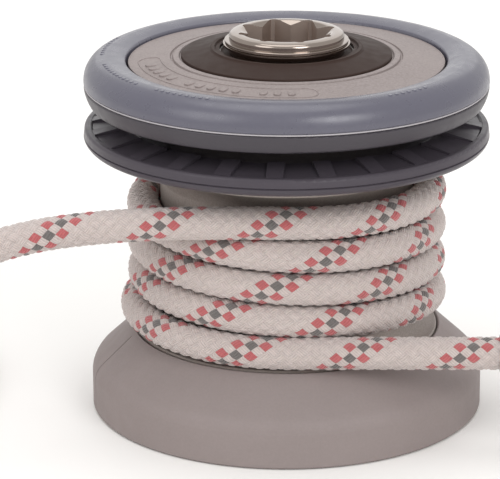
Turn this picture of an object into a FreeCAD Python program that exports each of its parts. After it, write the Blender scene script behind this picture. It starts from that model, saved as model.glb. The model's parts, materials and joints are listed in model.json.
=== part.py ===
import FreeCAD, Part
import math
import os
import re

import Sketcher

# A two-jaw self-tailing sailboat winch, in millimetres, with four turns of rope on its drum.
# +Z is the drum's axis, z = 0 is the deck, and the origin is the centre of the deck bolt circle.
# Seen from above, the drum hauls clockwise, so the loaded rope comes in from +X at the front (-Y).

Vector = FreeCAD.Vector
UP = Vector(0, 0, 1)

SIZES = {
    # deck base
    "base_radius": 48.5,
    "base_wall_top": 8.6,
    "base_mouth_radius": 37.5,
    "base_mouth_height": 20.2,
    "skirt_wall": 2.0,
    "plate_thick": 5.0,
    "plate_radius": 46.2,
    "deck_bolt_circle": 41.0,
    "deck_bolt_hole": 2.65,
    # centre stem
    "stem_seat": 6.5,
    "stem_foot_radius": 27.5,
    "stem_race_radius": 22.5,
    "stem_top": 89.5,
    "stem_spigot_radius": 19.0,
    "cover_seat": 84.5,
    # gears
    "gear_module": 1.25,
    "gear_low": 7.9,
    "gear_high": 13.5,
    # drum
    "drum_waist": 31.0,
    "drum_bore": 26.5,
    "drum_spigot": 30.0,
    "drum_foot_radius": 36.5,
    "drum_shoulder": 19.2,
    "drum_flange_top": 64.4,
    "drum_top": 75.0,
    "ring_seat": 33.6,
    # jaws and cover
    "jaw_radius": 49.5,
    "jaw_rim_low": 67.2,
    "jaw_lip": 71.7,
    "jaw_mouth": 77.9,
    "seam_height": 82.0,
    "crown_radius": 49.3,
    "crown_top": 88.75,
    "crown_round": 5.8,
    "disc_radius": 38.4,
    "nut_radius": 25.6,
    # spindle
    "hub_radius": 14.0,
    "hub_top": 94.45,
    "socket_flats": 17.45,
    "socket_depth": 20.0,
    "shaft_radius": 8.0,
    "journal_radius": 6.0,
    # rope
    "rope_radius": 4.0,
    "wrap_radius": 35.3,
    "first_turn_radius": 37.2,
    "load_height": 25.1,
    "tail_height": 57.0,
}

IDLER_TEETH = 17
PINION_TEETH = 14
RING_TEETH = 48
JAW_RIBS = 24
JAW_RIB_TURN = -3.4
ROLLERS = 14

doc = FreeCAD.newDocument("winch")
sheet = doc.addObject("Spreadsheet::Sheet", "sizes")
for row, (alias, value) in enumerate(SIZES.items(), start=1):
    sheet.set(f"A{row}", alias)
    sheet.set(f"B{row}", str(value))
    sheet.setAlias(f"B{row}", alias)
doc.recompute()

ALIAS = re.compile(r"\b(" + "|".join(sorted(SIZES, key=len, reverse=True)) + r")\b")
nodes = []


def bound(expression):
    """The expression with every alias written as a cell of the sheet."""
    return ALIAS.sub(r"sizes.\1", str(expression))


def number(expression):
    """The value of an expression over the sheet's cells."""
    return float(doc.getObject("sizes").evalExpression(bound(expression)))


def origin_plane(body, role):
    return next(f for f in body.Origin.OriginFeatures if f.Role == role)


def new_body(name):
    body = doc.addObject("PartDesign::Body", name)
    body.Label = name
    nodes.append(body)
    return body


def new_sketch(body, name, role, offset=None):
    """A sketch on one of the body's own origin planes, lifted by an offset expression."""
    sketch = body.newObject("Sketcher::SketchObject", name)
    sketch.AttachmentSupport = [(origin_plane(body, role), "")]
    sketch.MapMode = "FlatFace"
    if offset is not None:
        sketch.setExpression(".AttachmentOffset.Base.z", bound(offset))
    return sketch


def arc_edge(start, end, radius):
    """The minor arc from start to end, counter-clockwise for a positive radius."""
    middle = (start + end) * 0.5
    half = (end - start).Length / 2
    across = Vector(start.y - end.y, end.x - start.x, 0).normalize()
    reach = math.sqrt(max(radius * radius - half * half, 0.0))
    centre = middle + across * (reach if radius > 0 else -reach)
    first, last = (start, end) if radius > 0 else (end, start)
    turn = [math.atan2(p.y - centre.y, p.x - centre.x) for p in (first, last)]
    return Part.ArcOfCircle(Part.Circle(centre, UP, abs(radius)), turn[0], turn[1])


def pin_point(sketch, geometry, point, where):
    """Holds one vertex of a sketch at a pair of expressions."""
    for kind, axis, expression in (("DistanceX", -2, where[0]), ("DistanceY", -1, where[1])):
        value = number(expression)
        if abs(value) < 1e-9:
            sketch.addConstraint(Sketcher.Constraint("PointOnObject", geometry, point, axis))
            continue
        low, high = ((-1, 1), (geometry, point)) if value > 0 else ((geometry, point), (-1, 1))
        index = sketch.addConstraint(Sketcher.Constraint(kind, *low, *high, abs(value)))
        text = bound(expression)
        sketch.setExpression(f"Constraints[{index}]", text if value > 0 else f"-({text})")


def draw_outline(sketch, outline):
    """A closed outline of (x, y) or (x, y, arc radius) expressions, its edges joined end to end."""
    points = [Vector(number(p[0]), number(p[1]), 0) for p in outline]
    count = len(points)
    ends = []
    for i, p in enumerate(outline):
        here, there = points[i], points[(i + 1) % count]
        if len(p) == 3:
            radius = number(p[2])
            index = sketch.addGeometry(arc_edge(here, there, radius))
            ends.append((index, 1, 2) if radius > 0 else (index, 2, 1))
        else:
            index = sketch.addGeometry(Part.LineSegment(here, there))
            ends.append((index, 1, 2))
    for i in range(count):
        here, after = ends[i], ends[(i + 1) % count]
        sketch.addConstraint(Sketcher.Constraint("Coincident", here[0], here[2], after[0], after[1]))
    for i, p in enumerate(outline):
        pin_point(sketch, ends[i][0], ends[i][1], p)


def turned(name, outline):
    """A body turned about Z from an outline of radius and height expressions."""
    body = new_body(name)
    sketch = new_sketch(body, name + "_section", "XZ_Plane")
    draw_outline(sketch, outline)
    turn = body.newObject("PartDesign::Revolution", name + "_turn")
    turn.Profile = sketch
    turn.ReferenceAxis = (sketch, ["V_Axis"])
    turn.Angle = 360
    doc.recompute()
    return body


def circles(sketch, places, radius):
    """Circles at (x, y) expressions, sharing one radius expression."""
    for x, y in places:
        centre = Vector(number(x), number(y), 0)
        index = sketch.addGeometry(Part.Circle(centre, UP, number(radius)))
        pin_point(sketch, index, 3, (x, y))
        held = sketch.addConstraint(Sketcher.Constraint("Radius", index, number(radius)))
        sketch.setExpression(f"Constraints[{held}]", bound(radius))


def on_circle(radius, degrees):
    return f"({radius}) * {math.cos(math.radians(degrees)):.9f}", \
        f"({radius}) * {math.sin(math.radians(degrees)):.9f}"


def drilled(body, name, places, radius, low, high):
    """Cuts round holes from low up to high, and checks that they took material away."""
    before = body.Shape.Volume
    sketch = new_sketch(body, name + "_places", "XY_Plane", low)
    circles(sketch, places, radius)
    cut = body.newObject("PartDesign::Pocket", name)
    cut.Profile = sketch
    cut.Reversed = True
    cut.setExpression("Length", bound(f"({high}) - ({low})"))
    doc.recompute()
    if body.Shape.Volume >= before - 1e-6:
        raise ValueError(name + " cut nothing")


def around(body, feature, name, count):
    """Repeats a feature evenly around the body's Z axis."""
    pattern = body.newObject("PartDesign::PolarPattern", name)
    pattern.Originals = [feature]
    pattern.Axis = (origin_plane(body, "Z_Axis"), [""])
    pattern.Angle = 360
    pattern.Occurrences = count
    body.Tip = pattern
    doc.recompute()


def ribbed(body, name, outline, width, count, turn):
    """Adds count radial ribs of the given side outline and width, the first turned turn degrees."""
    sketch = new_sketch(body, name + "_side", "XZ_Plane")
    sketch.AttachmentOffset = FreeCAD.Placement(Vector(), FreeCAD.Rotation(Vector(0, 1, 0), turn))
    draw_outline(sketch, outline)
    pad = body.newObject("PartDesign::Pad", name)
    pad.Profile = sketch
    pad.Midplane = True
    pad.Length = width
    doc.recompute()
    around(body, pad, name + "_around", count)


def shaped(name, shape):
    """A node whose shape is worked out by a function."""
    feature = doc.addObject("Part::Feature", name)
    feature.Label = name
    feature.Shape = shape
    feature.Placement = shape.Placement
    nodes.append(feature)
    return feature


def cylinder(name, radius, low, high, place=("0", "0")):
    """A Part cylinder bound to the sheet."""
    piece = doc.addObject("Part::Cylinder", name)
    piece.setExpression("Radius", bound(radius))
    piece.setExpression("Height", bound(f"({high}) - ({low})"))
    piece.setExpression(".Placement.Base.x", bound(place[0]))
    piece.setExpression(".Placement.Base.y", bound(place[1]))
    piece.setExpression(".Placement.Base.z", bound(low))
    return piece


def joined(name, pieces):
    """Several primitives that make one node: fused where they touch, apart where they don't."""
    group = doc.addObject("Part::MultiFuse", name)
    group.Label = name
    group.Shapes = pieces
    group.Refine = False
    nodes.append(group)
    doc.recompute()
    return group


def screws(name, places, head, shank):
    """Cap screws: head and shank are (radius, low, high) expressions."""
    pieces = []
    for i, place in enumerate(places):
        pieces.append(cylinder(f"{name}_head_{i}", *head, place))
        pieces.append(cylinder(f"{name}_shank_{i}", *shank, place))
    return joined(name, pieces)


def face_of(points):
    return Part.Face(Part.makePolygon(points + [points[0]]))


def plate(points, low, high):
    """A flat plate with a polygon outline."""
    flat = face_of([Vector(p.x, p.y, low) for p in points])
    return flat.extrude(UP * (high - low))


# ---------------------------------------------------------------- deck base


def make_base():
    plate_body = turned("base_plate", [
        ("8.5", "0"), ("plate_radius", "0"), ("plate_radius", "plate_thick"),
        ("stem_foot_radius", "plate_thick"), ("stem_foot_radius", "stem_seat"), ("8.5", "stem_seat"),
    ])
    deck_bolts = [on_circle("deck_bolt_circle", 45 + 90 * k) for k in range(4)]
    stem_bolts = [on_circle("20", a) for a in (65, 115, 245, 295)]
    drilled(plate_body, "deck_bolt_holes", deck_bolts, "deck_bolt_hole", "0", "plate_thick")
    drilled(plate_body, "deck_bolt_seats", deck_bolts, "4.7", "2.8", "plate_thick")
    drilled(plate_body, "stem_bolt_holes", stem_bolts, "2.1", "0", "stem_seat")
    drilled(plate_body, "stem_bolt_seats", stem_bolts, "3.7", "0", "3.4")
    screws("stem_screws", stem_bolts, ("3.5", "0.4", "3.4"), ("2.0", "3.4", "12.4"))
    turned("lower_bush", [
        ("journal_radius + 0.05", "0.6"), ("8.5", "0.6"), ("8.5", "stem_seat"),
        ("journal_radius + 0.05", "stem_seat"),
    ])
    skirt = turned("base_skirt", [
        ("base_radius - skirt_wall", "0"), ("base_radius - 0.4", "0"), ("base_radius", "0.4"),
        ("base_radius", "base_wall_top", "5.4"), ("base_radius - 1.9", "base_wall_top + 3.7"),
        ("base_mouth_radius + 0.6", "base_mouth_height", "0.5"),
        ("base_mouth_radius", "base_mouth_height - 0.4"),
        ("base_mouth_radius", "base_mouth_height - 1.7"),
        ("base_radius - 3.2", "base_wall_top + 2.4"),
        ("base_radius - skirt_wall", "base_wall_top"),
        ("base_radius - skirt_wall", "stem_seat"), ("base_radius - 4.2", "stem_seat"),
        ("base_radius - 4.2", "plate_thick"), ("base_radius - skirt_wall", "plate_thick"),
    ])
    # a moulding seam runs up the skirt on one meridian
    seam = skirt.newObject("Sketcher::SketchObject", "skirt_seam_section")
    seam.AttachmentSupport = [(origin_plane(skirt, "XZ_Plane"), "")]
    seam.MapMode = "FlatFace"
    seam.AttachmentOffset = FreeCAD.Placement(Vector(), FreeCAD.Rotation(Vector(0, 1, 0), 193))
    draw_outline(seam, [
        ("base_radius - 0.35", "1.5"), ("base_radius + 1", "1.5"),
        ("base_radius + 1", "base_wall_top + 5"), ("base_mouth_radius + 2.6", "base_mouth_height"),
        ("base_mouth_radius + 1.6", "base_mouth_height - 1.35"),
        ("base_radius - 2.15", "base_wall_top + 3.45"), ("base_radius - 0.35", "base_wall_top"),
    ])
    cut = skirt.newObject("PartDesign::Pocket", "skirt_seam")
    cut.Profile = seam
    cut.Midplane = True
    cut.Length = 0.35
    doc.recompute()


# ---------------------------------------------------------------- fixed stem


def pawl_shape(pivot_radius, length, half_width, end_radius, pin, lean, low, high, grow=0.0):
    """A pawl whose pivot is on +Y: it points clockwise for a positive length, and leans outward."""
    way = math.copysign(1.0, length)
    along = Vector(way * math.cos(math.radians(lean)), math.sin(math.radians(lean)), 0)
    across = Vector(-along.y, along.x, 0)
    pivot = Vector(0, pivot_radius, 0)
    nose = pivot + along * (abs(length) + grow)
    side = across * (half_width + grow)
    arm = plate([pivot + side, nose + side, nose - side, pivot - side], low, high)
    boss = Part.makeCylinder(end_radius + grow, high - low, Vector(0, pivot_radius, low))
    pawl = arm.fuse(boss).removeSplitter()
    if pin:
        pawl = pawl.cut(Part.makeCylinder(pin, high - low, Vector(0, pivot_radius, low)))
    return pawl


HOLD = {"pivot_radius": 24.4, "length": 8.0, "half_width": 1.3, "end_radius": 2.0}
HOLD_REST = 12.0
HOLD_SWING = 20.0
HOLD_LOW = 14.6
HOLD_HIGH = 17.4
DRIVE = {"pivot_radius": 6.4, "length": -5.2, "half_width": 0.8, "end_radius": 1.3}
DRIVE_REST = 48.0
DRIVE_SWING = 24.0
DRIVE_LOW = 15.4
DRIVE_HIGH = 18.4


def pocket_for(pawl, rest, swing, low, high, gap):
    """The room that a pawl sweeps, with a gap all round it."""
    room = None
    for step in range(5):
        swept = pawl_shape(pin=0, lean=rest + swing * step / 4, low=low, high=high, grow=gap, **pawl)
        room = swept if room is None else room.fuse(swept)
    return room.removeSplitter()


def half_turn(shape):
    other = shape.copy()
    other.rotate(Vector(), UP, 180)
    return other


def make_stem():
    centre = (PINION_TEETH + IDLER_TEETH) * number("gear_module") / 2
    body = turned("stem_blank", [
        ("13.6", "stem_seat"), ("stem_foot_radius", "stem_seat"), ("stem_foot_radius", "18.2"),
        ("stem_race_radius", "18.2"), ("stem_race_radius", "drum_top - 3"), ("21.5", "drum_top - 2"),
        ("21.5", "cover_seat"), ("stem_spigot_radius", "cover_seat"),
        ("stem_spigot_radius", "stem_top"), ("16.0", "stem_top"), ("16.0", "71.4"),
        ("9.5", "71.4"), ("9.5", "20.2"), ("13.6", "20.2"),
    ])
    nodes.remove(body)
    shape = body.Shape
    low, high = number("gear_low") - 0.3, number("gear_high") + 0.3
    room = pocket_for(HOLD, HOLD_REST, HOLD_SWING, HOLD_LOW - 0.2, HOLD_HIGH + 0.2, 0.4)
    pin_low, pin_high = 7.0, 15.6
    for side in (1, -1):
        gear = Vector(side * centre, 0, low)
        shape = shape.cut(Part.makeCylinder(12.3, high - low, gear))
        shape = shape.cut(Part.makeCylinder(3.02, pin_high - pin_low, Vector(gear.x, 0, pin_low)))
        pin = Part.makeCylinder(1.22, 5.0, Vector(0, side * HOLD["pivot_radius"], 13.0))
        shape = shape.cut(pin)
        shape = shape.cut(room if side > 0 else half_turn(room))
    for angle in (65, 115, 245, 295):
        x, y = (number(e) for e in on_circle("20", angle))
        shape = shape.cut(Part.makeCylinder(2.02, 6.2, Vector(x, y, number("stem_seat"))))
    shaped("centre_stem", shape.removeSplitter())
    joined("idler_pins", [
        cylinder(f"idler_pin_{i}", "3.0", "7.1", "15.5", (str(side * centre), "0"))
        for i, side in enumerate((1, -1))
    ])
    joined("holding_pins", [
        cylinder(f"holding_pin_{i}", "1.2", "13.1", "17.9", ("0", str(side * HOLD["pivot_radius"])))
        for i, side in enumerate((1, -1))
    ])
    turned("thrust_washer", [
        ("23.0", "18.2"), ("27.3", "18.2"), ("27.3", "19.0"), ("23.0", "19.0"),
    ])
    turned("upper_bush", [
        ("hub_radius + 0.06", "72.6"), ("15.97", "72.6"), ("15.97", "stem_top - 0.2"),
        ("hub_radius + 0.06", "stem_top - 0.2"),
    ])
    for name, side in (("holding_pawl_a", 1), ("holding_pawl_b", -1)):
        pawl = pawl_shape(pin=1.26, lean=HOLD_REST, low=HOLD_LOW, high=HOLD_HIGH, **HOLD)
        shaped(name, pawl if side > 0 else half_turn(pawl))


# ---------------------------------------------------------------- roller bearings


def make_bearing(name, low, high):
    """A cage of rollers between the stem's race and the drum's bore."""
    middle = (number("stem_race_radius") + number("drum_bore")) / 2
    cage = Part.makeCylinder(middle + 0.9, high - low, Vector(0, 0, low))
    cage = cage.cut(Part.makeCylinder(middle - 0.9, high - low, Vector(0, 0, low)))
    rollers = []
    for k in range(ROLLERS):
        turn = 2 * math.pi * k / ROLLERS
        place = Vector(middle * math.cos(turn), middle * math.sin(turn), low + 1.5)
        cage = cage.cut(Part.makeCylinder(2.05, high - low - 3, place))
        place.z = low + 1.6
        rollers.append(Part.makeCylinder(1.94, high - low - 3.2, place))
    shaped(name + "_cage", cage)
    shaped(name + "_rollers", Part.makeCompound(rollers))


# ---------------------------------------------------------------- gears

PRESSURE = math.radians(20)
ADDENDUM = 0.8
DEDENDUM = 1.12
TOOTH_PLAY = 0.09


def half_angle(teeth, module, radius, play):
    """Half the angle of an involute tooth at a radius."""
    pitch = teeth * module / 2
    base = pitch * math.cos(PRESSURE)
    roll = math.acos(min(1.0, base / radius))
    involute = math.tan(PRESSURE) - PRESSURE - (math.tan(roll) - roll)
    return math.pi / (2 * teeth) - play / pitch + involute


def gear_outline(teeth, module, low, high, play, phase=0.0):
    """The outline of a gear with teeth from a low to a high radius, one tooth centred on the phase."""
    base = max(low, teeth * module / 2 * math.cos(PRESSURE))
    radii = [low] if low < base - 1e-6 else []
    radii += [base + (high - base) * k / 3 for k in range(4)]
    points = []
    for tooth in range(teeth):
        centre = phase + 2 * math.pi * tooth / teeth
        flank = [(r, half_angle(teeth, module, max(r, base), play)) for r in radii]
        for r, a in flank:
            points.append(Vector(r * math.cos(centre - a), r * math.sin(centre - a), 0))
        for r, a in reversed(flank):
            points.append(Vector(r * math.cos(centre + a), r * math.sin(centre + a), 0))
    return points


def ratchet_outline(teeth, tip, root, steep, way):
    """A saw-tooth outline: steep faces start at the angle steep, ramps run on the way +1 or -1."""
    points = []
    pitch = 360.0 / teeth
    for k in range(teeth):
        face = steep + k * pitch
        for radius, angle in ((tip, face), (root, face + way * 0.6), (tip + (root - tip) / 2,
                                                                       face + way * pitch / 2)):
            turn = math.radians(angle)
            points.append(Vector(radius * math.cos(turn), radius * math.sin(turn), 0))
    return sorted(points, key=lambda p: math.atan2(p.y, p.x))


def make_gears():
    module = number("gear_module")
    low, high = number("gear_low"), number("gear_high")
    centre = (PINION_TEETH + IDLER_TEETH) * module / 2
    pitch = RING_TEETH * module / 2
    seat = number("ring_seat") - 0.02
    blank = Part.makeCylinder(seat, high - low + 0.4, Vector(0, 0, low - 0.2))
    spaces = gear_outline(RING_TEETH, module, pitch - ADDENDUM * module,
                          pitch + DEDENDUM * module, -TOOTH_PLAY)
    shaped("ring_gear", blank.cut(plate(spaces, low - 0.2, high + 0.2)))
    ratchet = Part.makeCylinder(seat, 3.7, Vector(0, 0, 14.2))
    shaped("ratchet_ring", ratchet.cut(plate(ratchet_outline(12, 28.9, 31.2, 74.5, 1), 14.2, 17.9)))

    for name, side in (("idler_gear_a", 1), ("idler_gear_b", -1)):
        radius = IDLER_TEETH * module / 2
        outline = gear_outline(IDLER_TEETH, module, radius - DEDENDUM * module,
                               radius + ADDENDUM * module, TOOTH_PLAY, 0 if side > 0 else math.pi)
        gear = plate(outline, low, high)
        gear = gear.cut(Part.makeCylinder(3.05, high - low, Vector(0, 0, low)))
        for face in (low - 0.01, high - 0.59):
            hollow = Part.makeCylinder(7.6, 0.6, Vector(0, 0, face))
            gear = gear.cut(hollow.cut(Part.makeCylinder(5.0, 0.6, Vector(0, 0, face))))
        gear.translate(Vector(side * centre, 0, 0))
        shaped(name, gear)

    radius = PINION_TEETH * module / 2
    outline = gear_outline(PINION_TEETH, module, radius - DEDENDUM * module,
                           radius + ADDENDUM * module, TOOTH_PLAY)
    cup = Part.makeCylinder(13.2, 5.6, Vector(0, 0, 13.9))
    cup = cup.cut(plate(ratchet_outline(8, 10.4, 11.7, 113.5, -1), 14.6, 19.5))
    pinion = plate(outline, low, 13.9).fuse(cup)
    bore = Part.makeCylinder(number("journal_radius") + 0.03, 20, Vector(0, 0, 0))
    shaped("pinion", pinion.cut(bore))


# ---------------------------------------------------------------- drum and jaws


def make_drum():
    turned("drum", [
        ("drum_foot_radius", "7.2"), ("drum_foot_radius", "18.2"),
        ("drum_foot_radius + 0.8", "18.9"), ("drum_foot_radius + 0.8", "20.2"),
        ("drum_foot_radius + 0.5", "20.55", "-4.6"), ("drum_waist + 1.65", "25.6", "-14"),
        ("drum_waist", "32.0"), ("drum_waist", "58.2", "-6.5"),
        ("drum_waist + 5.6", "drum_flange_top - 1.0"), ("drum_waist + 5.6", "drum_flange_top"),
        ("drum_spigot", "drum_flange_top"), ("drum_spigot", "drum_top"),
        ("drum_bore", "drum_top"), ("drum_bore", "drum_shoulder"),
        ("ring_seat", "drum_shoulder"), ("ring_seat", "7.2"),
    ])
    body = doc.getObject("drum")
    screw_places = [on_circle("28.25", 30 + 60 * k) for k in range(6)]
    drilled(body, "jaw_screw_holes", screw_places, "1.22", "67", "drum_top")

    upper = turned("upper_jaw", [
        ("24", "drum_top"), ("33", "drum_top"), ("38", "drum_top + 1.2"),
        ("jaw_radius - 2.4", "jaw_mouth - 0.5", "0.9"), ("jaw_radius - 1.4", "jaw_mouth", "9"),
        ("crown_radius - 0.05", "seam_height - 0.7", "0.6"),
        ("crown_radius - 0.5", "seam_height - 0.18"), ("46.5", "seam_height - 0.18"),
        ("44.5", "80.6"), ("35", "79.0"), ("24", "79.0"),
    ])
    ribbed(upper, "upper_ribs", [
        ("39.2", "77.0"), ("39.2", "drum_top + 0.6"), ("42.0", "drum_top + 1.0"),
        ("44.4", "drum_top + 1.75"), ("44.4", "78.0"),
    ], 4.0, JAW_RIBS, JAW_RIB_TURN)
    drilled(upper, "upper_jaw_holes", screw_places, "1.3", "drum_top", "79.0")
    screws("jaw_screws", screw_places, ("2.6", "79.0", "80.9"), ("1.2", "67.5", "79.0"))

    lower = turned("lower_jaw", [
        ("drum_spigot + 0.3", "67.0"), ("31.6", "67.0"), ("31.6", "69.8"), ("44.6", "69.3"),
        ("45.8", "jaw_rim_low + 0.1"), ("jaw_radius - 2.0", "jaw_rim_low", "2.4"),
        ("jaw_radius", "jaw_rim_low + 1.9"), ("jaw_radius - 0.35", "69.3"),
        ("jaw_radius - 0.05", "69.55"), ("jaw_radius - 0.2", "jaw_lip - 0.8", "0.9"),
        ("jaw_radius - 1.1", "jaw_lip"), ("jaw_radius - 1.7", "jaw_lip"),
        ("jaw_radius - 2.3", "jaw_lip - 0.5"), ("38.5", "72.4"), ("drum_spigot + 0.3", "72.4"),
    ])
    ribbed(lower, "lower_ribs", [
        ("39.4", "71.4"), ("47.6", "70.4"), ("47.75", "71.5"), ("46.9", "71.75"), ("40.1", "73.25"),
        ("39.4", "73.0"),
    ], 4.0, JAW_RIBS, JAW_RIB_TURN)
    turned("jaw_spring", [
        ("32.0", "drum_flange_top"), ("32.6", "drum_flange_top"), ("36.4", "69.0"),
        ("36.4", "69.6"), ("35.8", "69.6"), ("32.0", "65.0"),
    ])


# ---------------------------------------------------------------- fixed cover

ARM_WIDTH = 13.0


def make_cover():
    turned("cover_disc", [
        ("stem_spigot_radius + 0.03", "cover_seat"), ("disc_radius", "cover_seat"),
        ("disc_radius", "87.0", "0.2"), ("disc_radius - 0.4", "87.25"), ("28.3", "88.4"),
        ("28.1", "88.0"), ("27.7", "88.0"), ("27.5", "88.5"), ("26.2", "88.6"), ("25.9", "88.2"),
        ("stem_spigot_radius + 0.03", "88.2"),
    ])
    ring = turned("cover_ring", [
        ("35", "82.9"), ("46", "82.9"), ("46", "seam_height + 0.2"),
        ("crown_radius - 0.6", "seam_height + 0.2", "0.6"),
        ("crown_radius", "crown_top - crown_round", "crown_round"),
        ("crown_radius - crown_round", "crown_top", "14"), ("39.6", "88.0", "0.8"),
        ("39.0", "87.2"), ("disc_radius + 0.2", "85.2"), ("disc_radius + 0.2", "cover_seat"),
        ("35", "cover_seat"),
    ])
    screw_places = [on_circle("36.8", 45 + 90 * k) for k in range(4)]
    drilled(ring, "cover_ring_holes", screw_places, "1.25", "82.9", "cover_seat")
    drilled(doc.getObject("cover_disc"), "cover_disc_holes", screw_places, "1.22", "cover_seat", "86.4")
    screws("cover_screws", screw_places, ("2.1", "81.5", "82.9"), ("1.2", "82.9", "86.2"))
    turned("cover_nut", [
        ("stem_spigot_radius + 0.03", "88.2"), ("nut_radius", "88.2"), ("nut_radius", "88.75", "0.3"),
        ("nut_radius - 0.3", "89.0"), ("18.9", "90.3", "-1.0"), ("18.3", "90.75"), ("17.5", "90.75"),
        ("17.2", "90.3"), ("16.3", "90.3"), ("16.3", "89.55"), ("stem_spigot_radius + 0.03", "89.55"),
    ])
    make_feeder(ring)


def bent_plate(inner, outer, low, high):
    """A plate on the back of the cover, bent about the axis, as wide as the arm."""
    ring = Part.makeCylinder(outer, high - low, Vector(0, 0, low))
    ring = ring.cut(Part.makeCylinder(inner, high - low, Vector(0, 0, low)))
    lane = Part.makeBox(ARM_WIDTH, 80, high - low, Vector(-ARM_WIDTH / 2, 0, low))
    return ring.common(lane)


def make_feeder(ring):
    """The arm that lifts the rope off the drum and strips it out of the jaws."""
    tongue = bent_plate(43.0, 51.0, 83.4, 86.0)
    post = bent_plate(49.9, 53.4, 61.8, 86.0)
    finger = bent_plate(40.6, 51.0, 61.8, 63.5)
    stripper = bent_plate(41.5, 51.0, 74.05, 75.3)
    arm = tongue.fuse([post, finger, stripper]).removeSplitter()
    edges = [e for e in arm.Edges if all(math.hypot(v.X, v.Y) > 53 for v in e.Vertexes)]
    arm = arm.makeFillet(0.9, edges)
    slot = bent_plate(42.9, 51.0, 83.35, 86.05)
    pockets, screw_pieces = [slot], []
    for i, x in enumerate((-3.6, 3.6)):
        pockets.append(Part.makeCylinder(2.15, 1.4, Vector(x, 45, 82.1)))
        arm = arm.cut(Part.makeCylinder(1.22, 2.2, Vector(x, 45, 83.4)))
        screw_pieces.append(cylinder(f"arm_screw_head_{i}", "2.1", "82.5", "83.4", (str(x), "45")))
        screw_pieces.append(cylinder(f"arm_screw_shank_{i}", "1.2", "83.4", "85.5", (str(x), "45")))
    joined("arm_screws", screw_pieces)
    shaped("feeder_arm", arm)
    nodes.remove(ring)
    ring.Label = "cover_ring_blank"
    shape = ring.Shape
    for pocket in pockets:
        shape = shape.cut(pocket)
    finished = shaped("cover_ring_shape", shape)
    finished.Label = "cover_ring"


# ---------------------------------------------------------------- spindle


def make_spindle():
    body = turned("spindle_blank", [
        ("0", "0.8"), ("journal_radius - 0.5", "0.8"), ("journal_radius", "1.3"),
        ("journal_radius", "14.7"), ("9.2", "14.7"), ("9.2", "19.1"), ("shaft_radius", "19.1"),
        ("shaft_radius", "72.0"), ("hub_radius", "72.0"), ("hub_radius", "90.2"),
        ("hub_radius + 0.2", "90.95"), ("hub_radius + 1.3", "91.15"), ("hub_radius + 1.4", "91.3"),
        ("hub_radius + 1.4", "91.7"), ("hub_radius + 0.8", "91.85"), ("hub_radius + 0.8", "92.0"),
        ("hub_radius + 1.05", "92.1"), ("hub_radius + 1.05", "92.4"), ("hub_radius + 0.9", "92.5"),
        ("hub_radius", "92.6"), ("hub_radius", "hub_top - 0.95", "1.05"),
        ("hub_radius - 0.75", "hub_top - 0.2", "5"), ("hub_radius - 2.7", "hub_top", "1.5"),
        ("hub_radius - 3.3", "hub_top - 0.25"), ("hub_radius - 5.2", "hub_top - 1.35"),
        ("0", "hub_top - 1.35"),
    ])
    # the handle socket is two squares on one centre, with blunted points
    flats = number("socket_flats") / 2
    corner = flats / math.cos(math.radians(22.5))
    point = flats * math.sqrt(2)
    blunt = 2.4
    star = []
    for k in range(8):
        tip = 16.5 + 45 * k
        for radius, angle in ((point - 0.35, tip - blunt), (point - 0.35, tip + blunt),
                              (corner, tip + 22.5)):
            turn = math.radians(angle)
            star.append(Vector(radius * math.cos(turn), radius * math.sin(turn), 0))
    top = number("hub_top")
    shape = body.Shape.cut(plate(star, top - number("socket_depth"), top + 1))
    room = pocket_for(DRIVE, DRIVE_REST - DRIVE_SWING, DRIVE_SWING, DRIVE_LOW - 0.2,
                      DRIVE_HIGH + 0.2, 0.25)
    for side in (1, -1):
        pin = Part.makeCylinder(0.72, 4.4, Vector(0, side * DRIVE["pivot_radius"], 14.7))
        shape = shape.cut(room if side > 0 else half_turn(room)).cut(pin)
    nodes.remove(body)
    shaped("spindle", shape)
    joined("drive_pins", [
        cylinder(f"drive_pin_{i}", "0.7", "14.75", "19.05", ("0", str(side * DRIVE["pivot_radius"])))
        for i, side in enumerate((1, -1))
    ])
    for name, side in (("drive_pawl_a", 1), ("drive_pawl_b", -1)):
        pawl = pawl_shape(pin=0.75, lean=DRIVE_REST, low=DRIVE_LOW, high=DRIVE_HIGH, **DRIVE)
        shaped(name, pawl if side > 0 else half_turn(pawl))


# ---------------------------------------------------------------- rope

# The tail's route from the drum's front to the deck, and the coil that it ends in.
TAIL_ROUTE = [
    (-8, -35.6, 57.0), (-38, -35.6, 56.8), (-66, -36, 53.2), (-90, -37.5, 42.0), (-106, -40, 21.0),
    (-124, -42, 5.5), (-146, -40, 4.0), (-164, -24, 4.0),
]
COIL_CENTRE = (-126.0, 4.0)
COIL_RADIUS = 42.0
LOAD_END = 62.0
EYE_RADIUS = 10.0


def rope_path(route, name):
    """Straight runs joined by tangent arcs, each as large as its two runs allow."""
    points = [Vector(*p) for p in route]
    edges, radii = [], []
    start = points[0]
    for before, corner, after in zip(points, points[1:], points[2:]):
        back, onward = before - corner, after - corner
        short = min(back.Length, onward.Length)
        turn = math.pi - back.getAngle(onward)
        trim = 0.45 * short
        radii.append(trim / math.tan(turn / 2))
        enter = corner + back.normalize() * trim
        leave = corner + onward.normalize() * trim
        middle = (back + onward).normalize()
        bend = corner + middle * (radii[-1] / math.cos(turn / 2) - radii[-1])
        if (enter - start).Length > 1e-6:
            edges.append(Part.LineSegment(start, enter).toShape())
        edges.append(Part.Arc(enter, bend, leave).toShape())
        start = leave
    edges.append(Part.LineSegment(start, points[-1]).toShape())
    print(name, "arc radii", [round(r, 1) for r in radii])
    return Part.Wire(edges)


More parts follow.
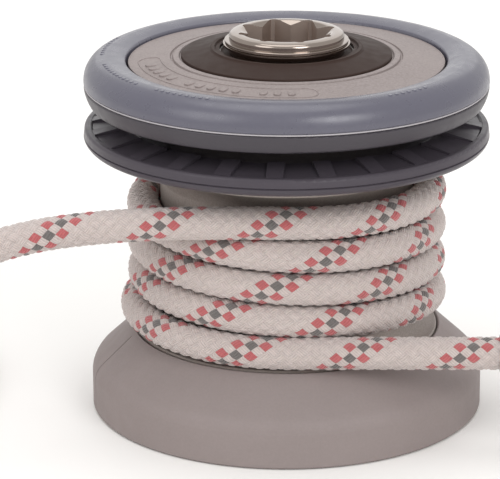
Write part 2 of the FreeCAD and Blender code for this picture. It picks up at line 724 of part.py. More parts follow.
def rope_tube(name, route):
    wire = rope_path(route, name)
    radius = number("rope_radius")
    first = Vector(*route[1]) - Vector(*route[0])
    section = Part.Wire(Part.Circle(Vector(*route[0]), first, radius).toShape())
    tube = wire.makePipeShell([section], True, False)
    expected = math.pi * radius**2 * wire.Length
    print(name, "length", round(wire.Length, 1), "volume ratio", round(tube.Volume / expected, 4))
    return tube


def make_rope():
    turned("rope_wraps", [
        ("drum_waist + 0.3", "32.2"), ("drum_waist + 1.95", "25.8", "4.3"),
        ("first_turn_radius", "load_height - rope_radius + 0.1"),
        ("first_turn_radius + rope_radius", "load_height - 1"),
        ("first_turn_radius + rope_radius", "load_height + rope_radius"),
        ("wrap_radius + rope_radius", "33"), ("wrap_radius + rope_radius", "tail_height + 2"),
        ("wrap_radius + 2", "tail_height + rope_radius"), ("wrap_radius", "tail_height + rope_radius"),
        ("drum_waist + 0.3", "58.0"),
    ])
    front = -number("first_turn_radius")
    height = number("load_height")
    radius = number("rope_radius")
    run = Part.makeCylinder(radius, LOAD_END - 12, Vector(12, front, height), Vector(1, 0, 0))
    shaped("rope_load_run", run)
    # the loaded end is an eye round a thimble, lying level
    eye_centre = Vector(LOAD_END + EYE_RADIUS + 3.0, front, height)
    eye = Part.makeTorus(EYE_RADIUS, radius, eye_centre, UP)
    shaped("load_eye", eye)
    groove = Part.makeTorus(EYE_RADIUS, radius + 0.2, eye_centre, UP)
    rim = Part.makeCylinder(EYE_RADIUS - 1.6, 7.6, eye_centre - UP * 3.8)
    rim = rim.cut(Part.makeCylinder(EYE_RADIUS - 5.6, 7.6, eye_centre - UP * 3.8))
    shaped("load_thimble", rim.cut(groove))
    sleeve = Part.makeCylinder(radius + 0.9, 13, Vector(LOAD_END - 11.5, front, height), Vector(1, 0, 0))
    hollow = Part.makeCylinder(radius, 13, Vector(LOAD_END - 11.5, front, height), Vector(1, 0, 0))
    shaped("load_whipping", sleeve.cut(hollow).cut(eye))

    shaped("rope_tail", rope_tube("rope_tail", TAIL_ROUTE))
    middle = Vector(COIL_CENTRE[0], COIL_CENTRE[1], radius)
    outer = Part.makeCylinder(COIL_RADIUS + 2 * radius, 2 * radius, middle - UP * radius)
    inner = Part.makeCylinder(COIL_RADIUS - 2 * radius, 2 * radius, middle - UP * radius)
    shaped("rope_tail_coil", outer.cut(inner))


def check_and_write():
    """Stops on any failed object or shape, then writes one STEP file for each node."""
    doc.recompute()
    for item in doc.Objects:
        if {"Invalid", "Error"} & set(item.State):
            raise ValueError(f"{item.Name} failed: {item.State}")
    os.makedirs("parts", exist_ok=True)
    for node in nodes:
        if node.Shape.isNull() or not node.Shape.isValid():
            raise ValueError(f"{node.Label} has no valid shape")
        node.Shape.exportStep(f"parts/{node.Label}.step")
        print(node.Label, len(node.Shape.Solids), round(node.Shape.Volume, 1))


make_base()
make_stem()
make_bearing("lower_bearing", 20.5, 36.0)
make_bearing("upper_bearing", 54.0, 69.5)
make_gears()
make_drum()
make_cover()
make_spindle()
make_rope()
check_and_write()
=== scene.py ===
"""Looks of a self-tailing sailboat winch and its braided rope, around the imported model.

Lengths are written in millimetres and multiplied by MM. +Z is up the drum's axis, -Y is the front.
"""

import json
import math

import bpy
import numpy as np
from mathutils import Matrix, Vector


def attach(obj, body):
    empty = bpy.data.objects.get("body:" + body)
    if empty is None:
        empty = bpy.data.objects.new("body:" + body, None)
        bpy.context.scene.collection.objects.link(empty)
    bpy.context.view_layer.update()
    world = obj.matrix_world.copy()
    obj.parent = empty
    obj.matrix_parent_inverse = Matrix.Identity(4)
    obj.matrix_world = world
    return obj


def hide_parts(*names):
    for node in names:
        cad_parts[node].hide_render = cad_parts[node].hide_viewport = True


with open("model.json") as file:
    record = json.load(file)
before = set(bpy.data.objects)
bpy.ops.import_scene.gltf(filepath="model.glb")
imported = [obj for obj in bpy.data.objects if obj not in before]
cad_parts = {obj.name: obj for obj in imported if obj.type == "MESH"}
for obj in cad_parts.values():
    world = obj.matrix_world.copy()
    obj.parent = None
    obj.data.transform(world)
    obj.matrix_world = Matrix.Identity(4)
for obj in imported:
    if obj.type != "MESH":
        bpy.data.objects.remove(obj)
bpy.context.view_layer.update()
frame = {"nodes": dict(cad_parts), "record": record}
MM = 0.001

# ---------------------------------------------------------------- sizes

# the rope: its turns climb the drum clockwise from above, from the load at +X to the tail at -X
ROPE_DIAMETER = 7.95
STRANDS = 8
CELL_LENGTH = 3.25
CELL_STEPS = 3
STRAND_CROWN = 0.34
TRACER_START = 5
LOAD_END = (62.0, -37.2, 25.1)
TURNS = 4
TURN_POINTS = 24
FIRST_TURN_RADIUS = 37.2
WRAP_RADIUS = 35.3
# the turn at which the rope starts to close on the drum, and how many turns it takes
CLOSING = (0.3, 0.6)
# the rope's height on the drum at each quarter turn: front, left, back, right, front and so on
TURN_HEIGHTS = [
    25.1, 25.9, 27.3, 28.9, 32.7, 34.7, 36.2, 37.7, 40.7, 42.9, 44.8, 46.4, 48.7, 51.7, 53.5, 55.1, 56.9,
]
TAIL_ROUTE = [
    (-8, -35.6, 57.0), (-38, -35.6, 56.8), (-66, -36, 53.2), (-90, -37.5, 42.0), (-106, -40, 21.0),
    (-124, -42, 5.5), (-146, -40, 4.0), (-164, -24, 4.0),
]
COIL_CENTRE = (-126.0, 4.0)
COIL_OUTER_TURN = 46.0
COIL_INNER_TURN = 38.0
COIL_TURNS = 1.85
COIL_START_ANGLE = 200.0
COIL_CLOSING = (0.66, 0.3)
FLOOR_GAP = 0.1
# the whipped end is thicker than the rope, so its last points are lifted to keep it off the floor
END_LIFT = 0.4
END_LIFT_POINTS = 4
EYE_RADIUS = 10.0
EYE_CENTRE = (75.0, -37.2, 25.1)
EYE_OPENING = 30.0
EYE_POINTS = 16
WHIP_TURN_BULGE = 0.42
END_WHIP_LENGTH = 9.0

# the cover: angles in degrees from the front towards the left, heights above the deck
DISC_EDGE = (38.0, 87.25)
DISC_SLOPE = 0.1186
PANEL_RADII = (30.6, 36.0)
PANEL_ANGLES = (-8.0, 84.0)
PANEL_BEAD = 0.16
BAR_SLOTS = 15
BAR_GAPS = (3, 9)
BAR_STEP = 5.6
RIM_TICK_GROUPS = ((-46, 7), (24, 9), (52, 12), (90, 10))
RIM_TICK_STEP = 2.3
RIM_TICK_PLACE = (44.6, 88.62)
PARTING_PLACE = (49.05, 82.06)
PARTING_BEAD = 0.2


# ---------------------------------------------------------------- materials


def srgb(red, green, blue):
    """A display colour, 0 to 255, as linear light with alpha."""
    out = []
    for value in (red, green, blue):
        v = value / 255
        out.append(v / 12.92 if v <= 0.04045 else ((v + 0.055) / 1.055) ** 2.4)
    return (*out, 1.0)


class Surface:
    """A Principled material that is built up from procedural layers."""

    def __init__(self, name, colour, roughness, metallic=0.0, **sockets):
        self.material = bpy.data.materials.new(name)
        self.material.use_nodes = True
        self.tree = self.material.node_tree
        self.shader = self.tree.nodes["Principled BSDF"]
        self.colour = colour
        self.roughness = roughness
        self.shader.inputs["Base Color"].default_value = colour
        self.shader.inputs["Roughness"].default_value = roughness
        self.shader.inputs["Metallic"].default_value = metallic
        for socket, value in sockets.items():
            self.shader.inputs[socket.replace("_", " ")].default_value = value
        self.place = self.node("ShaderNodeTexCoord").outputs["Object"]
        self.colour_out = None
        self.normal_out = None

    def node(self, kind, **values):
        made = self.tree.nodes.new(kind)
        for name, value in values.items():
            setattr(made, name, value)
        return made

    def link(self, out, into):
        self.tree.links.new(out, into)

    def noise(self, size, detail=3.0, stretch=(1, 1, 1)):
        """Noise whose lumps are about size millimetres across, squeezed along the axes by stretch."""
        mapping = self.node("ShaderNodeMapping")
        mapping.inputs["Scale"].default_value = stretch
        self.link(self.place, mapping.inputs["Vector"])
        noise = self.node("ShaderNodeTexNoise")
        noise.inputs["Scale"].default_value = 1 / (size * MM)
        noise.inputs["Detail"].default_value = detail
        self.link(mapping.outputs["Vector"], noise.inputs["Vector"])
        return noise.outputs["Fac"]

    def rings(self, pitch):
        """Turned lines round the drum's axis, pitch millimetres apart."""
        wave = self.node("ShaderNodeTexWave", wave_type="RINGS", rings_direction="Z")
        wave.inputs["Scale"].default_value = 2 * math.pi / (20 * pitch * MM)
        wave.inputs["Distortion"].default_value = 0.6
        wave.inputs["Detail"].default_value = 2.0
        self.link(self.place, wave.inputs["Vector"])
        return wave.outputs["Fac"]

    def spread(self, source, low, high, start=0.3, end=0.7):
        """source between start and end, mapped to low and high."""
        ranged = self.node("ShaderNodeMapRange")
        for socket, value in (("From Min", start), ("From Max", end), ("To Min", low), ("To Max", high)):
            ranged.inputs[socket].default_value = value
        self.link(source, ranged.inputs["Value"])
        return ranged.outputs["Result"]

    def tint(self, amount, colour):
        """Mixes a colour over the base by amount, an output between 0 and 1."""
        mix = self.node("ShaderNodeMix", data_type="RGBA")
        if self.colour_out is None:
            mix.inputs["A"].default_value = self.colour
        else:
            self.link(self.colour_out, mix.inputs["A"])
        mix.inputs["B"].default_value = colour
        self.link(amount, mix.inputs["Factor"])
        self.colour_out = mix.outputs["Result"]
        self.link(self.colour_out, self.shader.inputs["Base Color"])
        return self

    def rough(self, source, low, high):
        self.link(self.spread(source, low, high), self.shader.inputs["Roughness"])
        return self

    def bump(self, source, depth):
        """Raises the surface by up to depth millimetres where source is bright."""
        bump = self.node("ShaderNodeBump")
        bump.inputs["Distance"].default_value = depth * MM
        bump.inputs["Strength"].default_value = 1.0
        self.link(source, bump.inputs["Height"])
        if self.normal_out is not None:
            self.link(self.normal_out, bump.inputs["Normal"])
        self.normal_out = bump.outputs["Normal"]
        self.link(self.normal_out, self.shader.inputs["Normal"])
        return self

    def edge_wear(self, colour, amount=0.5):
        """Lighter, rubbed edges where the surface is sharply convex."""
        geometry = self.node("ShaderNodeNewGeometry")
        edge = self.spread(geometry.outputs["Pointiness"], 0.0, amount, 0.52, 0.62)
        return self.tint(edge, colour)


def shade(colour, factor):
    """The colour, darker for a factor below 1 and lighter above."""
    return (*[c * factor for c in colour[:3]], 1.0)


def moulded(name, colour, roughness, grain=0.02, **sockets):
    """Moulded plastic: faint mottling, a fine eroded grain and slightly rubbed edges."""
    s = Surface(name, colour, roughness, **sockets)
    s.tint(s.spread(s.noise(14.0), 0.0, 0.35), shade(colour, 0.86))
    s.tint(s.spread(s.noise(0.6, 2.0), 0.0, 0.25), shade(colour, 1.18))
    s.edge_wear(shade(colour, 1.5), 0.35)
    s.rough(s.noise(3.0), roughness - 0.05, roughness + 0.06)
    s.bump(s.noise(0.35, 2.0), grain)
    return s.material


def machined(name, colour, roughness, pitch, depth, **sockets):
    """Turned metal with fine tool lines round the axis."""
    s = Surface(name, colour, roughness, 1.0, **sockets)
    s.tint(s.spread(s.noise(9.0), 0.0, 0.4), shade(colour, 0.84))
    s.rough(s.noise(1.2, 4.0), roughness - 0.05, roughness + 0.08)
    s.bump(s.rings(pitch), depth)
    s.bump(s.noise(0.25, 2.0), depth * 0.6)
    return s.material


def cast(name, colour, roughness, grain, depth, metallic=1.0, **sockets):
    """Bead-blasted or sand-grained metal."""
    s = Surface(name, colour, roughness, metallic, **sockets)
    s.tint(s.spread(s.noise(grain * 1.6, 3.0), 0.0, 0.7), shade(colour, 0.62))
    s.tint(s.spread(s.noise(12.0), 0.0, 0.3), shade(colour, 1.15))
    s.rough(s.noise(grain, 3.0), roughness - 0.08, roughness + 0.08)
    s.bump(s.noise(grain, 3.0), depth)
    return s.material


def yarn(name, colour):
    """A braided strand: fine fibres along it and a soft, slightly fuzzy face, with painted shade in the
    grooves between its yarns.
    """
    s = Surface(
        name, colour, 0.72, 0.0, Sheen_Weight=0.3, Sheen_Roughness=0.5, Specular_IOR_Level=0.3,
        Subsurface_Weight=0.5, Subsurface_Radius=(1.0, 0.9, 0.85), Subsurface_Scale=2.0 * MM,
    )
    uv = s.node("ShaderNodeUVMap", uv_map="strand")
    split = s.node("ShaderNodeSeparateXYZ")
    s.link(uv.outputs["UV"], split.inputs["Vector"])
    phase = s.node("ShaderNodeMath", operation="MULTIPLY")
    s.link(split.outputs["X"], phase.inputs[0])
    phase.inputs[1].default_value = 2 * math.pi * 4
    fibres = s.node("ShaderNodeMath", operation="COSINE")
    s.link(phase.outputs["Value"], fibres.inputs[0])
    # painted shade: the strand is darkened in the grooves between its four yarns, where the bump below lies
    # lowest
    groove_painted_shade = s.spread(fibres.outputs["Value"], 0.0, 0.6, 0.2, 1.0)
    s.tint(groove_painted_shade, shade(colour, 0.55))
    s.tint(s.spread(s.noise(5.0), 0.0, 0.25), shade(colour, 0.88))
    s.tint(s.spread(s.noise(0.9, 2.0), 0.0, 0.5), shade(colour, 1.2))
    s.bump(s.spread(fibres.outputs["Value"], 1.0, 0.0, -1.0, 1.0), 0.14)
    s.bump(s.noise(0.18, 2.0), 0.03)
    return s.material


def polished(name, colour, painted_light_wall_colour):
    """Polished outside, and dull, broached walls inside the handle socket. The outside's colour is darker
    than steel as a painted dark reflection, and the walls' colour is lighter as painted light; the walls'
    dullness is real.
    """
    s = Surface(name, colour, 0.13, 1.0)
    flat = s.node("ShaderNodeVectorMath", operation="MULTIPLY")
    s.link(s.place, flat.inputs[0])
    flat.inputs[1].default_value = (1 / MM, 1 / MM, 0)
    distance = s.node("ShaderNodeVectorMath", operation="LENGTH")
    s.link(flat.outputs["Vector"], distance.inputs[0])
    geometry = s.node("ShaderNodeNewGeometry")
    split = s.node("ShaderNodeSeparateXYZ")
    s.link(geometry.outputs["Normal"], split.inputs["Vector"])
    upright = s.spread(split.outputs["Z"], 1.0, 0.0, 0.1, 0.3)
    within = s.spread(distance.outputs["Value"], 1.0, 0.0, 12.1, 12.4)
    walls = s.node("ShaderNodeMath", operation="MULTIPLY")
    s.link(upright, walls.inputs[0])
    s.link(within, walls.inputs[1])
    s.link(s.spread(walls.outputs["Value"], 0.13, 0.5, 0.0, 1.0), s.shader.inputs["Roughness"])
    # painted light: the socket walls get a lighter colour; their rougher finish, set above, is real
    s.tint(walls.outputs["Value"], painted_light_wall_colour)
    s.tint(s.spread(s.noise(4.0, 3.0, (1, 1, 0.25)), 0.0, 0.2), shade(colour, 0.7))
    s.bump(s.rings(0.35), 0.003)
    s.bump(s.noise(0.5, 2.0, (1, 1, 0.15)), 0.004)
    return s.material


TAUPE = srgb(139, 128, 126)
CROWN = srgb(87, 86, 99)
# painted shade: a darker copy of the rim's blue-grey for the upper jaw below the parting line
UNDER_CROWN_PAINTED_SHADE = srgb(64, 60, 66)
# painted shade: the lower jaw has the rim's blue-grey, painted darker for the way it faces the light
JAW_PAINTED_SHADE = srgb(72, 67, 74)
WARM_METAL = srgb(160, 150, 144)
STEEL = srgb(196, 190, 184)
BRONZE = srgb(176, 138, 92)

SLOT_MATERIALS = {
    "base_grey": moulded("base_grey", TAUPE, 0.62, 0.03),
    "cast_alloy": cast("cast_alloy", srgb(168, 164, 160), 0.48, 0.5, 0.05),
    "stainless": machined("stainless", STEEL, 0.28, 0.3, 0.006),
    # the hub's steel is painted darker outside, a painted dark reflection, and lighter on the socket walls,
    # painted light
    "polished": polished("polished", srgb(158, 147, 139), srgb(196, 181, 172)),
    "bronze": machined("bronze", BRONZE, 0.32, 0.3, 0.008),
    "acetal": moulded("acetal", srgb(226, 222, 210), 0.45, 0.01),
    "drum_alloy": cast("drum_alloy", WARM_METAL, 0.55, 0.3, 0.02, 0.3),
    "jaw_dark": moulded("jaw_dark", JAW_PAINTED_SHADE, 0.34, 0.006, Specular_IOR_Level=0.25),
    "crown_blue": moulded("crown_blue", CROWN, 0.3, 0.003, Specular_IOR_Level=0.7),
    "disc_grain": cast("disc_grain", srgb(152, 141, 139), 0.55, 0.4, 0.09, 0.25, Specular_IOR_Level=0.4),
    "nut_dark": moulded("nut_dark", srgb(60, 48, 44), 0.45, 0.004, Specular_IOR_Level=0.04),
    "rope": yarn("rope", srgb(198, 186, 182)),
}
ROPE_WHITE = SLOT_MATERIALS["rope"]
ROPE_RED = yarn("rope_red", srgb(184, 100, 102))
ROPE_GREY = yarn("rope_grey", srgb(112, 107, 105))
TWINE = yarn("twine", srgb(52, 50, 56))
# painted highlight: the parting line is a real low bead, coloured far lighter than the rim as a painted
# highlight along it
PARTING_HIGHLIGHT = moulded("parting_line_highlight", srgb(168, 164, 168), 0.4, 0.01)
ARM_ALLOY = cast("arm_alloy", srgb(126, 119, 116), 0.42, 0.5, 0.03)
# painted shade: the rim's material made darker, for the upper jaw below the parting line
CROWN_PAINTED_SHADE = moulded("crown_painted_shade", UNDER_CROWN_PAINTED_SHADE, 0.4, 0.008, Specular_IOR_Level=0.4)


# ---------------------------------------------------------------- mesh helpers


def new_object(name, vertices, faces, materials, body):
    """A smooth mesh that rides on a body, its vertices in millimetres."""
    mesh = bpy.data.meshes.new(name)
    mesh.from_pydata((np.asarray(vertices, float) * MM).tolist(), [], faces)
    for material in materials:
        mesh.materials.append(material)
    mesh.shade_smooth()
    piece = bpy.data.objects.new(name, mesh)
    bpy.context.scene.collection.objects.link(piece)
    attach(piece, body)
    return piece


def rope_line(name, controls):
    """The smooth line, in metres, of the rope's NURBS spline through its control points."""
    curve = bpy.data.curves.new(name, "CURVE")
    curve.dimensions = "3D"
    curve.resolution_u = 12
    spline = curve.splines.new("NURBS")
    spline.points.add(len(controls) - 1)
    for point, place in zip(spline.points, controls):
        point.co = (*[c * MM for c in place], 1.0)
    spline.order_u = 3
    spline.use_endpoint_u = True
    holder = bpy.data.objects.new(name, curve)
    bpy.context.scene.collection.objects.link(holder)
    bpy.context.view_layer.update()
    mesh = bpy.data.meshes.new_from_object(holder)
    line = np.array([v.co for v in mesh.vertices])
    bpy.data.objects.remove(holder)
    bpy.data.meshes.remove(mesh)
    return line


def evenly(line, step):
    """The line's length, and points on it a step apart, with their tangents."""
    along = np.concatenate([[0.0], np.cumsum(np.linalg.norm(np.diff(line, axis=0), axis=1))])
    count = int(along[-1] / step)
    places = np.linspace(0.0, along[-1], count + 1)
    points = np.stack([np.interp(places, along, line[:, k]) for k in range(3)], axis=1)
    tangents = np.gradient(points, axis=0)
    tangents /= np.linalg.norm(tangents, axis=1)[:, None]
    return along[-1], points, tangents


def carried_normals(tangents, start):
    """A normal for each tangent, carried along the line without twist from start."""
    normals = np.empty_like(tangents)
    normal = np.array(start, float)
    for i, tangent in enumerate(tangents):
        normal = normal - tangent * normal.dot(tangent)
        normal /= np.linalg.norm(normal)
        normals[i] = normal
    return normals


def braid(name, line, radius, start_normal, body="base"):
    """A braided cord along a line in metres: strands of two hands, each over and under the other.

    Vertices lie on a lattice turned 45 degrees: J counts along the cord and I round it, and
    P = (J + I) / 2 and Q = (J - I) / 2 count across the strands of the two hands.
    """
    step = CELL_LENGTH * MM / (2 * CELL_STEPS)
    length, points, tangents = evenly(line, step)
    levels = len(points)
    around = STRANDS * CELL_STEPS
    normals = carried_normals(tangents, start_normal)
    sides = np.cross(tangents, normals)

    j = np.repeat(np.arange(levels)[:, None], around, axis=1)
    i = 2 * np.arange(around)[None, :] + j % 2
    p, q = (j + i) // 2, (j - i) // 2
    inside = (p % CELL_STEPS != 0) & (q % CELL_STEPS != 0)
    corner = (p % CELL_STEPS == 0) & (q % CELL_STEPS == 0)
    reach = radius - STRAND_CROWN + STRAND_CROWN * inside - 0.5 * STRAND_CROWN * corner
    angle = math.pi * i / around
    out = np.cos(angle)[..., None] * normals[:, None] + np.sin(angle)[..., None] * sides[:, None]
    vertices = (points[:, None] / MM + out * reach[..., None]).reshape(-1, 3)

    def index(level, place):
        return level * around + (place % (2 * around)) // 2

    fj, fi = j[:-2], i[:-2]
    quads = np.stack([index(fj, fi), index(fj + 1, fi + 1), index(fj + 2, fi), index(fj + 1, fi - 1)], -1)
    cell_p, cell_q = p[:-2] // CELL_STEPS, q[:-2] // CELL_STEPS
    a_over = (cell_p + cell_q) % 2 == 0
    tracer = (cell_p - TRACER_START) % STRANDS
    red = a_over & ((tracer == 0) | (tracer == 2))
    slots = np.where(red, 1, np.where(a_over & (tracer == 1), 2, 0))
    u = (p[:-2] % CELL_STEPS) / CELL_STEPS
    v = (q[:-2] % CELL_STEPS) / CELL_STEPS
    third = 1 / CELL_STEPS
    corners = [(u, v), (u + third, v), (u + third, v + third), (u, v + third)]
    across = np.stack([np.where(a_over, a, b) for a, b in corners], -1)
    along = np.stack([np.where(a_over, b, a) for a, b in corners], -1)

    ends = end_faces(levels, around)
    piece = new_object(
        name, vertices, quads.reshape(-1, 4).tolist() + ends, [ROPE_WHITE, ROPE_RED, ROPE_GREY], body,
    )
    mesh = piece.data
    flat_slots = np.concatenate([slots.ravel(), np.zeros(len(ends), int)])
    mesh.polygons.foreach_set("material_index", flat_slots.astype(np.int32))
    coordinates = np.zeros((len(mesh.loops), 2), np.float32)
    coordinates[: quads.size, 0] = across.ravel()
    coordinates[: quads.size, 1] = along.ravel()
    mesh.uv_layers.new(name="strand").data.foreach_set("uv", coordinates.ravel())
    mesh.update()
    return piece, length


def end_faces(levels, around):
    """Small triangles that even out the lattice's ends, and a cap on each."""
    faces = []
    last = (levels - 1) * around
    odd = (levels - 1) % 2
    for k in range(around):
        after = (k + 1) % around
        faces.append([k, after, around + k])
        inner = last - around + (k if odd == 0 else after)
        faces.append([last + after, last + k, inner])
    faces.append(list(range(around))[::-1])
    faces.append(list(range(last, last + around)))
    return faces


def sleeve(name, start, direction, length, radius, turns, material, body="base"):
    """Whipping twine: a sleeve of close turns round the rope, with rounded turns and closed ends."""
    axis = Vector(direction).normalized()
    turn = axis.to_track_quat("Z", "Y").to_matrix()
    pitch = length / turns
    profile = [(radius - 1.2, 0.0)]
    for k in range(turns):
        for part in (0.0, 0.2, 0.5, 0.8):
            bulge = math.sin(math.pi * part) * pitch * WHIP_TURN_BULGE
            profile.append((radius - pitch * WHIP_TURN_BULGE + bulge, (k + part) * pitch))
    profile += [(radius - pitch * WHIP_TURN_BULGE, length), (radius - 1.2, length)]
    return lathe(name, profile, material, body, 48, turn, start)


def lathe(name, profile, material, body, segments=160, turn=Matrix.Identity(3), centre=(0, 0, 0)):
    """A closed ring turned from a profile of (radius, height) points."""
    vertices, faces = [], []
    count = len(profile)
    for k in range(segments):
        angle = 2 * math.pi * k / segments
        for radius, height in profile:
            local = Vector((radius * math.cos(angle), radius * math.sin(angle), height))
            vertices.append(Vector(centre) + turn @ local)
    for k in range(segments):
        a, b = k * count, (k + 1) % segments * count
        for n in range(count):
            m = (n + 1) % count
            faces.append([a + n, b + n, b + m, a + m])
    return new_object(name, vertices, faces, [material], body)


def tube(name, points, radius, material, body, sides=10):
    """A closed thin bead along points in millimetres."""
    places = np.asarray(points, float)
    tangents = np.roll(places, -1, axis=0) - np.roll(places, 1, axis=0)
    tangents /= np.linalg.norm(tangents, axis=1)[:, None]
    normals = np.tile([0.0, 0.0, 1.0], (len(places), 1))
    across = np.cross(tangents, normals)
    vertices, faces = [], []
    for k in range(sides):
        angle = 2 * math.pi * k / sides
        vertices.append(places + radius * (math.cos(angle) * normals + math.sin(angle) * across))
    vertices = np.stack(vertices, axis=1).reshape(-1, 3)
    for n in range(len(places)):
        after = (n + 1) % len(places)
        for k in range(sides):
            m = (k + 1) % sides
            faces.append([n * sides + k, after * sides + k, after * sides + m, n * sides + m])
    return new_object(name, vertices, faces, [material], body)


def on_top(angle, radius, height):
    """A point on the cover, its angle in degrees from the front towards the left."""
    turn = math.radians(angle)
    return Vector((-radius * math.sin(turn), -radius * math.cos(turn), height))


def raised_bars(name, places, width, length, rise, material, body):
    """Low bars with rounded corners and bevelled tops, at (angle, radius, height) on the cover."""
    corner = min(width, length) * 0.25
    rings = [(1.0, -0.4), (1.0, rise * 0.55), (0.93, rise * 0.85), (0.8, rise)]
    vertices, faces = [], []
    for angle, radius, height in places:
        first = len(vertices)
        centre = on_top(angle, radius, height)
        outward = on_top(angle, 1, 0)
        along = Vector((outward.y, -outward.x, 0))
        half_w, half_l = width / 2, length / 2
        outline = [
            (half_w, half_l - corner), (half_w - corner, half_l), (corner - half_w, half_l),
            (-half_w, half_l - corner), (-half_w, corner - half_l), (corner - half_w, -half_l),
            (half_w - corner, -half_l), (half_w, corner - half_l),
        ]
        for scale, lift in rings:
            for x, y in outline:
                vertices.append(centre + along * x * scale + outward * y * scale + Vector((0, 0, lift)))
        count = len(outline)
        for ring in range(len(rings) - 1):
            for k in range(count):
                a, b = first + ring * count + k, first + ring * count + (k + 1) % count
                faces.append([a, b, b + count, a + count])
        top = first + (len(rings) - 1) * count
        faces.append([top + k for k in range(count)])
        faces.append([first + k for k in range(count)][::-1])
    return new_object(name, vertices, faces, [material], body)


# ---------------------------------------------------------------- rope


def eased(value, start, span):
    """0 up to start, 1 after start + span, and smooth between them."""
    blend = min(max((value - start) / span, 0.0), 1.0)
    return blend * blend * (3 - 2 * blend)


def turn_points():
    """Control points of the turns on the drum, a little outside their circle."""
    step = 2 * math.pi / TURN_POINTS
    outward = 1 / (0.75 + 0.25 * math.cos(step))
    quarters = np.arange(len(TURN_HEIGHTS)) / 4
    points = []
    for k in range(TURNS * TURN_POINTS + 1):
        turn = k / TURN_POINTS
        closed = eased(turn, *CLOSING)
        radius = (FIRST_TURN_RADIUS + (WRAP_RADIUS - FIRST_TURN_RADIUS) * closed) * outward
        angle = 2 * math.pi * turn
        height = float(np.interp(turn, quarters, TURN_HEIGHTS))
        points.append((-radius * math.sin(angle), -radius * math.cos(angle), height))
    return points


def coil_points():
    """Control points of the put-away coil: an outer turn, then an inner one beside it."""
    points = []
    steps = int(COIL_TURNS * TURN_POINTS)
    for k in range(1, steps + 1):
        turn = k / TURN_POINTS
        radius = COIL_OUTER_TURN + (COIL_INNER_TURN - COIL_OUTER_TURN) * eased(turn, *COIL_CLOSING)
        angle = math.radians(COIL_START_ANGLE) - 2 * math.pi * turn
        points.append((
            COIL_CENTRE[0] + radius * math.cos(angle),
            COIL_CENTRE[1] + radius * math.sin(angle),
            ROPE_DIAMETER / 2 + FLOOR_GAP + (END_LIFT if k > steps - END_LIFT_POINTS else 0.0),
        ))
    return points


def make_rope():
    """The rope in one braided piece, its spliced eye, and the twine on both ends."""
    controls = [LOAD_END, (30, *LOAD_END[1:]), (10, *LOAD_END[1:])]
    controls += turn_points() + TAIL_ROUTE + coil_points()
    line = rope_line("rope_route", controls)
    rope, length = braid("sheet_rope", line, ROPE_DIAMETER / 2, (0, -1, 0))
    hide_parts("rope_wraps", "rope_load_run", "rope_tail", "rope_tail_coil")

    # the loaded end is an eye round a thimble, lying level, and its throat is whipped
    reach = math.radians(180 - EYE_OPENING)
    x, y, z = LOAD_END
    eye_controls = [(x - 3, y - 1.0, z), (x + 2.5, y - 3.0, z)]
    for k in range(EYE_POINTS + 1):
        angle = math.pi + math.radians(EYE_OPENING) + (2 * reach) * k / EYE_POINTS
        eye_controls.append((
            EYE_CENTRE[0] + EYE_RADIUS * 1.02 * math.cos(angle),
            EYE_CENTRE[1] + EYE_RADIUS * 1.02 * math.sin(angle),
            EYE_CENTRE[2],
        ))
    eye_controls += [(x + 2.5, y + 3.0, z), (x - 3, y + 1.0, z)]
    eye, _ = braid("spliced_eye", rope_line("eye_route", eye_controls), ROPE_DIAMETER / 2, (0, 0, 1))
    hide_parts("load_eye")
    whipping = sleeve("eye_whipping", (x - 11.4, y, z), (1, 0, 0), 12.8, 4.85, 12, TWINE)
    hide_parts("load_whipping")
    end, before = Vector(line[-1]) / MM, Vector(line[-8]) / MM
    along = (end - before).normalized()
    tip = sleeve("end_whipping", end - along * END_WHIP_LENGTH, along, END_WHIP_LENGTH + 0.2, 4.3, 9, TWINE)


# ---------------------------------------------------------------- the cover's low relief


def disc_height(radius):
    """The height of the disc's face, which rises towards the hub."""
    return DISC_EDGE[1] + (DISC_EDGE[0] - radius) * DISC_SLOPE


def panel_outline():
    """The (angle, radius) outline of the panel on the disc, with half-round ends."""
    low, high = PANEL_RADII
    start, end = PANEL_ANGLES
    middle, half = (low + high) / 2, (high - low) / 2
    outline = [(angle, high) for angle in np.linspace(start, end, 60)]
    for turn in np.radians(np.linspace(90, -90, 9)[1:-1]):
        outline.append((end + math.degrees(half * math.cos(turn) / middle), middle + half * math.sin(turn)))
    outline += [(angle, low) for angle in np.linspace(end, start, 60)]
    for turn in np.radians(np.linspace(-90, 90, 9)[1:-1]):
        outline.append((start - math.degrees(half * math.cos(turn) / middle), middle + half * math.sin(turn)))
    return outline


def make_cover_relief():
    """Plain raised bars in a beaded panel, short ticks on the rim, and the rim's parting line, a low bead
    coloured light as a painted highlight.
    """
    grain = SLOT_MATERIALS["disc_grain"]
    middle = sum(PANEL_RADII) / 2
    first = PANEL_ANGLES[0] + 6
    slots = [k for k in range(BAR_SLOTS) if k not in BAR_GAPS]
    bars = [(first + BAR_STEP * k, middle, disc_height(middle)) for k in slots]
    raised_bars("disc_bars", bars, 1.7, 3.0, 0.2, grain, "base")
    panel = [on_top(angle, radius, disc_height(radius)) for angle, radius in panel_outline()]
    tube("disc_panel_bead", panel, PANEL_BEAD, grain, "base")
    ticks = [
        (begin + RIM_TICK_STEP * k, *RIM_TICK_PLACE) for begin, count in RIM_TICK_GROUPS for k in range(count)
    ]
    raised_bars("rim_bars", ticks, 0.9, 1.1, 0.12, SLOT_MATERIALS["crown_blue"], "base")
    radius, height = PARTING_PLACE
    profile = []
    for angle in np.linspace(0, 2 * math.pi, 13)[:-1]:
        profile.append((radius + PARTING_BEAD * math.cos(angle), height + PARTING_BEAD * math.sin(angle)))
    lathe("rim_parting_line", profile, PARTING_HIGHLIGHT, "base", 256)


# ---------------------------------------------------------------- CAD nodes, light and camera


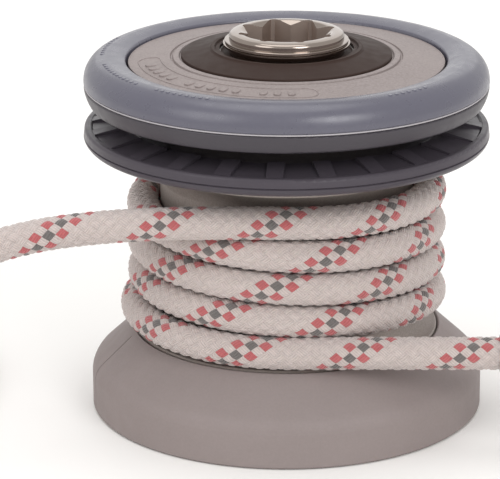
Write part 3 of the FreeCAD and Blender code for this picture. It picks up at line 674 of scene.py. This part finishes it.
# the bush, in the gap round the hub, takes the nut's dark finish as painted shade, the upper jaw takes a
# darker copy of the rim's colour as painted shade, and the arm is bare alloy
NODE_FINISH = {
    # painted shade: the bush gets the nut's dark finish to darken the gap round the hub
    "upper_bush": SLOT_MATERIALS["nut_dark"],
    # painted shade: the upper jaw gets a darker copy of the rim's colour
    "upper_jaw": CROWN_PAINTED_SHADE,
    "feeder_arm": ARM_ALLOY,
}


def dress_nodes():
    """Gives every CAD node the material of its slot, or its own finish."""
    slots = {part["node"]: part["material_slot"] for part in frame["record"]["subparts"]}
    for name, piece in frame["nodes"].items():
        piece.data.materials.clear()
        piece.data.materials.append(NODE_FINISH.get(name, SLOT_MATERIALS[slots[name]]))


def area_light(name, place, size, power, target=(0, 0, 0.045)):
    light = bpy.data.lights.new(name, "AREA")
    light.shape = "DISK"
    light.size = size
    light.energy = power
    lamp = bpy.data.objects.new(name, light)
    lamp.location = place
    lamp.rotation_euler = (Vector(target) - Vector(place)).to_track_quat("-Z", "Y").to_euler()
    bpy.context.scene.collection.objects.link(lamp)


def make_studio():
    """A pale floor under a pale sky, with soft light from the front right, above, behind and the left."""
    floor_material = Surface("studio_floor", srgb(250, 249, 247), 0.8).material
    bpy.ops.mesh.primitive_plane_add(size=8.0, location=(0, 0, -0.0002))
    floor = bpy.context.object
    floor.name = "studio_floor"
    floor.data.materials.append(floor_material)

    world = bpy.data.worlds.new("studio")
    bpy.context.scene.world = world
    world.use_nodes = True
    background = world.node_tree.nodes["Background"]
    background.inputs["Color"].default_value = (1.0, 0.99, 0.98, 1.0)
    background.inputs["Strength"].default_value = 0.8
    area_light("key", (0.8, -1.3, 1.1), 0.9, 9)
    area_light("top", (-0.1, 0.2, 1.7), 1.3, 7)
    area_light("back", (0.0, 1.9, 0.8), 1.6, 3)
    area_light("fill", (-1.2, -1.0, 1.1), 1.2, 6)


def make_camera():
    """The view from the front, 18 degrees down, fitted to the winch's own circles."""
    camera = bpy.data.cameras.new("camera")
    camera.sensor_fit = "HORIZONTAL"
    camera.sensor_width = 36
    camera.lens = 210.6
    camera.shift_x = -0.0732
    camera.shift_y = 0.001
    camera.clip_start = 0.01
    holder = bpy.data.objects.new("camera", camera)
    holder.location = (0, -0.6878, 0.2658)
    holder.rotation_euler = (math.radians(90 - 18.0845), 0, 0)
    bpy.context.scene.collection.objects.link(holder)
    bpy.context.scene.camera = holder
    bpy.context.scene.view_settings.view_transform = "Standard"


dress_nodes()
make_rope()
make_cover_relief()
make_studio()
make_camera()
